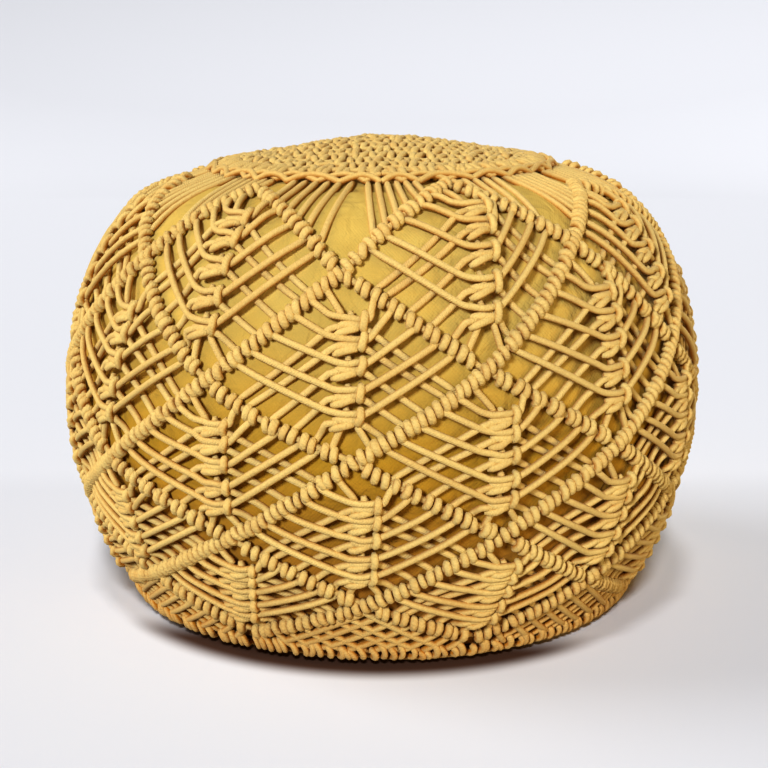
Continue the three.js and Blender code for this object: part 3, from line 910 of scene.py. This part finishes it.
class POUF_OT_top_panel(Operator):
    """Round top panel, knotted in straight rows with slanting slits between the stitches"""

    bl_idname = "pouf.top_panel"
    bl_label = "Top panel"

    edge = PANEL_EDGE - 4 * MM
    rim = 11 * MM
    crown, crown_power = 6.0 * MM, 1.5
    wander = 0.9 * MM
    row_pitch, row_width, row_lift = 15 * MM, 4.6 * MM, 4.4 * MM
    row_knots, row_steps = 20, 61
    round_lift = 5.0 * MM
    round_knots, round_steps = 24, 289
    stitch, place_stray = 7.0 * MM, 0.12
    stitch_half, stitch_steps = 0.6, 6
    stitch_width, width_stray = 6.0 * MM, 0.08
    stitch_lift, stitch_fall, lift_stray = 5.4 * MM, 5.0 * MM, 0.4 * MM
    lean, second_less, lean_stray = 0.65, 0.6, 0.2
    rim_inside, rim_outside = 8 * MM, 11 * MM
    rim_lift, rim_rise, rim_lift_stray = 3.4 * MM, 2.2 * MM, 0.3 * MM
    rim_lean_stray = 0.25

    def cords(self, x, y, lift, width, rng):
        """Cords over the panel from places across and along it, with their lifts.

        The lifts are raised towards the middle by a power of one less the share of the radius.
        """
        turn = np.degrees(np.arctan2(x, -y))
        down = np.interp(np.hypot(x, y), PROFILE_RADIUS[:PROFILE_STEPS], PROFILE_LENGTH[:PROFILE_STEPS])
        lift = lift + self.crown * np.clip(1 - down / PANEL_EDGE, 0, 1) ** self.crown_power
        return tube(on_pouf(turn, down, lift), outward(turn, down, lift), width, rng)

    def stitches(self, reach, rng):
        """Stitches in rows, highest in their middles; each second one leans less, so slits open."""
        across = np.arange(-reach, reach, self.stitch)
        along = np.arange(-reach, reach + self.row_pitch, self.row_pitch)
        x, y = (v.reshape(-1, 1) for v in np.meshgrid(across, along))
        inside = (np.hypot(x, y) < reach).ravel()
        x, y = x[inside], y[inside]
        second = np.round((x + reach) / self.stitch) % 2
        x = x + (np.round((y + reach) / self.row_pitch) % 2) * self.stitch / 2
        lean = self.lean - self.second_less * second + rng.normal(0, self.lean_stray, x.shape)
        x = x + rng.normal(0, self.place_stray, x.shape) * self.stitch
        high = rng.normal(0, self.lift_stray, x.shape)
        share = np.linspace(-self.stitch_half, self.stitch_half, self.stitch_steps)
        lift = self.stitch_lift - self.stitch_fall * share ** 2 + high
        width = self.stitch_width * (1 + rng.normal(0, self.width_stray, x.shape))
        return self.cords(x + lean * self.stitch * share, y + self.row_pitch * share, lift, width, rng)

    def row_cords(self, reach, rng):
        """A wavering cord between each two rows."""
        along = np.arange(-reach + self.row_pitch / 2, reach, self.row_pitch)[:, None]
        half = np.sqrt(reach ** 2 - along ** 2)
        wander = smooth(rng.normal(0, self.wander, (2 * len(along), self.row_knots)), self.row_steps)
        sway, bob = wander.reshape(2, len(along), self.row_steps)
        x = half * np.linspace(-1, 1, self.row_steps)
        return self.cords(x, along + sway, self.row_lift + bob / 2, self.row_width, rng)

    def rim_stitches(self, inner, rng):
        """Upright stitches round the rim, from the last row to the ring, highest in their middles."""
        count = round(2 * math.pi * inner / self.stitch)
        place = np.arange(count)[:, None] + rng.normal(0, self.place_stray, (count, 1))
        turn = place * 2 * np.pi / count
        share = np.linspace(0, 1, self.stitch_steps)
        radius = inner - self.rim_inside + (self.rim + self.rim_outside) * share
        turn = turn + rng.normal(0, self.rim_lean_stray, turn.shape) * share * self.stitch / inner
        stray = rng.normal(0, self.rim_lift_stray, turn.shape)
        lift = self.rim_lift + self.rim_rise * np.sin(np.pi * share) + stray
        return self.cords(radius * np.sin(turn), -radius * np.cos(turn), lift, self.stitch_width, rng)

    def round_cord(self, inner, rng):
        """A cord round the stitches, whose radius and lift waver."""
        sway, bob = closed_wander(rng, self.wander, self.round_knots, self.round_steps)
        turn = np.radians(np.linspace(0, 360, self.round_steps))
        radius = (inner + sway)[None]
        lift = (self.round_lift + bob / 2)[None]
        return self.cords(radius * np.sin(turn), -radius * np.cos(turn), lift, self.row_width, rng)

    def execute(self, context):
        _, rng = sizes_and_scatter(context)
        reach = self.edge - self.rim
        makers = (self.stitches, self.row_cords, self.rim_stitches, self.round_cord)
        cord_piece("top_panel_stitches", [make(reach, rng) for make in makers], "top_panel")
        return {"FINISHED"}


class POUF_OT_top_ring(Operator):
    """Wavy edging of two cords round the top panel, pinned down between its arches"""

    bl_idname = "pouf.top_ring"
    bl_label = "Top ring"

    steps = 960
    stray_knots = 40
    arch, arch_stray, arch_middle = 5.0 * MM, 0.3, 0.4
    uneven = 0.4
    crest_lift, pinned_fall = 7.0 * MM, 3.6 * MM
    # Each cord's lead, as a share of an arch, and width, as a share of the net's cord
    lead_and_width = ((0, 1.0), (0.42, 0.92))
    lead_rise = 5

    def execute(self, context):
        """Two cords in arches, one less a sine's size; one arches about where the other is pinned."""
        sizes, rng = sizes_and_scatter(context)
        turn = np.linspace(0, 360, self.steps)
        late, taller = closed_wander(rng, 1, self.stray_knots, self.steps)
        arch = self.arch * (1 + self.arch_stray * taller)
        cords = []
        for lead, width in self.lead_and_width:
            half_waves = np.radians(turn) * sizes.ring_arches / 2 + lead * np.pi + self.uneven * late
            pinned = 1 - np.abs(np.sin(half_waves))
            down = RING_DOWN + arch * (pinned - self.arch_middle) - self.lead_rise * lead * MM
            lift = self.crest_lift - self.pinned_fall * pinned
            path = on_pouf(turn, down, lift)[None]
            cords.append(tube(path, outward(turn, down, lift)[None], sizes.cord * width, rng))
        cord_piece("top_ring_cords", cords, "top_ring")
        return {"FINISHED"}


class POUF_OT_foot(Operator):
    """Cords that cross below the last bars, and the row of loops that turns under at the foot"""

    bl_idname = "pouf.foot"
    bl_label = "Foot loops"

    steps = 9
    hanging = 8
    hanging_first, hanging_last, hanging_stray = 0.06, 0.94, 0.015
    cross_over = 0.95
    bar_lift, foot_lift = 3.4 * MM, 3.2 * MM
    middle_lift, side_lift = 4.4, 1.2
    middle_parts = (0.35, 0.7)
    foot_gap = 5 * MM
    loop = (
        # across, below and lift in millimetres
        (-2.0, -11.0, 3.4),
        (0.4, -9.5, 5.4),
        (1.8, -6.0, 6.6),
        (1.6, -3.0, 6.6),
        (0, -0.5, 5.0),
        (-2.0, 2.0, 2.6),
    )
    loop_height = 12
    place_stray, lean_stray, tall_stray, width_stray = 0.2, 2.0 * MM, 0.2, 0.08

    def hanging_cords(self, side, sizes, rng):
        """Cords from one side's last bars to the foot, about parallel to the bars of the other side."""
        apex = APEX_TURN + HALF_STEP * (DIAMOND_ROWS % 2)
        even = np.linspace(self.hanging_first, self.hanging_last, self.hanging)
        share = even + rng.normal(0, self.hanging_stray, (REPEATS, self.hanging))
        bar = (*on_net(DIAMOND_ROWS + share, apex + side * HALF_STEP * share), self.bar_lift)
        foot_turn = apex - side * HALF_STEP * (1 - 2 * share) * self.cross_over
        foot = (foot_turn, np.full(foot_turn.shape, FOOT_DOWN - self.foot_gap), self.foot_lift)
        lift = self.middle_lift - side * self.side_lift * np.sin(np.radians(bar[0]))
        middle = [between(bar, foot, part, lift) for part in self.middle_parts]
        return lay([bar, *middle, foot], sizes.cord, self.steps, rng)

    def loops(self, sizes, rng):
        """Short upright loops, bent, leaning and spaced a little unevenly, that end under the pouf."""
        count = sizes.foot_loops
        turn = (np.arange(count)[:, None] + rng.normal(0, self.place_stray, (count, 1))) * 360 / count
        lean = rng.normal(0, self.lean_stray, turn.shape)
        tall = 1 + rng.normal(0, self.tall_stray, turn.shape)
        here = np.full(turn.shape, FOOT_DOWN)
        columns = []
        for across, below, lift in self.loop:
            leaning = across * MM - lean * below / self.loop_height
            columns.append((*moved(turn, here, leaning, below * tall * MM), lift * MM))
        width = sizes.cord * (1 + rng.normal(0, self.width_stray, (count, 1)))
        return lay(columns, width, self.steps, rng)

    def execute(self, context):
        sizes, rng = sizes_and_scatter(context)
        cords = [self.hanging_cords(side, sizes, rng) for side in (-1, 1)]
        cords.append(self.loops(sizes, rng))
        cord_piece("foot_loops", cords, "side_net")
        return {"FINISHED"}


class POUF_OT_base(Operator):
    """Underside, coiled from the foot to the middle"""

    bl_idname = "pouf.base"
    bl_label = "Coiled base"

    pitch = 5.6 * MM
    cord_width = 5.4 * MM
    lift = 5.5 * MM
    step_turn = 9

    def execute(self, context):
        """A flat spiral of cord, one pitch closer to the middle with each turn."""
        _, rng = sizes_and_scatter(context)
        rounds = FOOT_RADIUS / self.pitch - 0.5
        turn = np.arange(0, 360 * rounds, self.step_turn)[None]
        down = FOOT_DOWN + self.pitch * turn / 360
        path = on_pouf(turn, down, self.lift)
        coil = tube(path, outward(turn, down, 0), self.cord_width, rng, HIDDEN_SIDES)
        cord_piece("base_coil", [coil], "base_panel")
        return {"FINISHED"}


class POUF_OT_stage(Operator):
    """Pale floor, soft studio light and the camera"""

    bl_idname = "pouf.stage"
    bl_label = "Stage"

    floor_middle, floor_reach = 0.02, 3.2
    sweep_radius, sweep_height = 1.6, 4.0
    around, bend_steps = 96, 13
    aim = Vector((1.7 * MM, 0, 159 * MM))
    distance = 1.25
    elevation = math.radians(12.61)
    lens = 72.64
    lamps = (
        # name, where it comes from, strength, spread in degrees, the one thing it lights and its colour
        ("key", (-0.35, -0.84, 0.42), 2.95, 12, "pouf", "#ffffff"),
        ("fill", (0.87, -0.48, 0.03), 1.75, 45, "pouf", "#ffe6bc"),
        ("side", (-0.85, 0.02, 0.52), 1.9, 45, "pouf", "#ffe6bc"),
        ("warm", (0.10, -0.97, -0.10), 0.7, 150, "pouf", "#f0c068"),
        ("back", (0.40, 0.91, 0.06), 3.0, 45, "pouf", "#ffffff"),
        ("front of floor", (0.00, -0.75, 0.66), 2.5, 10, "floor", "#ffffff"),
        ("side of floor", (-0.80, 0.14, 0.58), 1.3, 35, "floor", "#ffffff"),
        ("top of floor", (-0.05, -0.35, 0.93), 0.9, 8, "floor", "#ffffff"),
    )
    world_strength = 0.04
    view_gamma = 0.80

    def aimed(self, thing, place):
        """Puts a lamp or the camera at a place, looking at the pouf."""
        made = bpy.data.objects.new(thing.name, thing)
        made.location = place
        made.rotation_euler = (self.aim - place).to_track_quat("-Z", "Y").to_euler()
        bpy.context.scene.collection.objects.link(made)
        return made

    def sweep(self):
        """A round floor that turns up into a wall: a flat, a quarter arc and an upright, spun round."""
        bend = np.linspace(0, np.pi / 2, self.bend_steps)
        outer = self.floor_reach + self.sweep_radius * np.sin(bend)
        radius = np.concatenate([[self.floor_middle], outer])
        height = np.concatenate([[0], self.sweep_radius * (1 - np.cos(bend))])
        radius = np.append(radius, radius[-1])[:, None]
        height = np.append(height, self.sweep_height)[:, None]
        turn = np.linspace(0, 2 * np.pi, self.around, endpoint=False)
        spun = np.broadcast_arrays(radius * np.sin(turn), radius * np.cos(turn), height)
        index = np.arange(spun[0].size).reshape(spun[0].shape)
        quads = ring_faces(index).reshape(-1, 4)
        mesh = bpy.data.meshes.new("floor")
        points = np.stack(spun, axis=-1).reshape(-1, 3)
        mesh.from_pydata(points, [], [*quads.tolist(), index[0].tolist()])
        mesh.shade_smooth()
        return mesh

    def light(self, context, floor):
        """Lamps that each light the pouf alone or the floor alone, and a faint even sky."""
        lit = {name: bpy.data.collections.new(name) for name in ("pouf", "floor")}
        lit["floor"].objects.link(floor)
        for piece in context.scene.objects:
            if piece.type == "MESH" and piece != floor:
                lit["pouf"].objects.link(piece)
        for name, place, strength, spread, receiver, colour in self.lamps:
            lamp = bpy.data.lights.new(name, "SUN")
            lamp.energy = strength
            lamp.angle = math.radians(spread)
            lamp.color = linear(colour)[:3]
            made = self.aimed(lamp, self.aim + Vector(place))
            made.light_linking.receiver_collection = lit[receiver]
        world = bpy.data.worlds.new("studio")
        world.use_nodes = True
        sky = world.node_tree.nodes["Background"]
        sky.inputs["Color"].default_value = linear("#f1f2f7")
        sky.inputs["Strength"].default_value = self.world_strength
        context.scene.world = world

    def execute(self, context):
        mesh = self.sweep()
        mesh.materials.append(matt_paper())
        floor = bpy.data.objects.new("floor", mesh)
        context.scene.collection.objects.link(floor)
        floor.visible_shadow = False
        floor.visible_diffuse = False
        self.light(context, floor)
        camera = bpy.data.cameras.new("camera")
        camera.lens = self.lens
        back = Vector((0, -math.cos(self.elevation), math.sin(self.elevation)))
        context.scene.camera = self.aimed(camera, self.aim + back * self.distance)
        context.scene.view_settings.view_transform = "Standard"
        context.scene.view_settings.gamma = self.view_gamma
        return {"FINISHED"}


PIECES = (
    POUF_OT_cushion, POUF_OT_bars, POUF_OT_strands, POUF_OT_knots, POUF_OT_top_fans, POUF_OT_top_panel,
    POUF_OT_top_ring, POUF_OT_foot, POUF_OT_base, POUF_OT_stage,
)


class POUF_PT_panel(Panel):
    """The pouf's sizes, colours and pieces"""

    bl_idname = "POUF_PT_panel"
    bl_label = "Macrame pouf"
    bl_space_type = "VIEW_3D"
    bl_region_type = "UI"
    bl_category = "Pouf"

    def draw(self, context):
        for group in (context.scene.pouf_sizes, context.scene.pouf_colours):
            for name in group.__annotations__:
                self.layout.prop(group, name)
        for piece in PIECES:
            self.layout.operator(piece.bl_idname)


CLASSES = (PoufSizes, PoufColours, *PIECES, POUF_PT_panel)


def register():
    for made in CLASSES:
        bpy.utils.register_class(made)
    bpy.types.Scene.pouf_sizes = PointerProperty(type=PoufSizes)
    bpy.types.Scene.pouf_colours = PointerProperty(type=PoufColours)


def unregister():
    del bpy.types.Scene.pouf_colours
    del bpy.types.Scene.pouf_sizes
    for made in reversed(CLASSES):
        bpy.utils.unregister_class(made)


def main():
    """Builds every piece in order."""
    register()
    for piece in PIECES:
        group, name = piece.bl_idname.split(".")
        getattr(getattr(bpy.ops, group), name)()


if __name__ == "__main__":
    main()
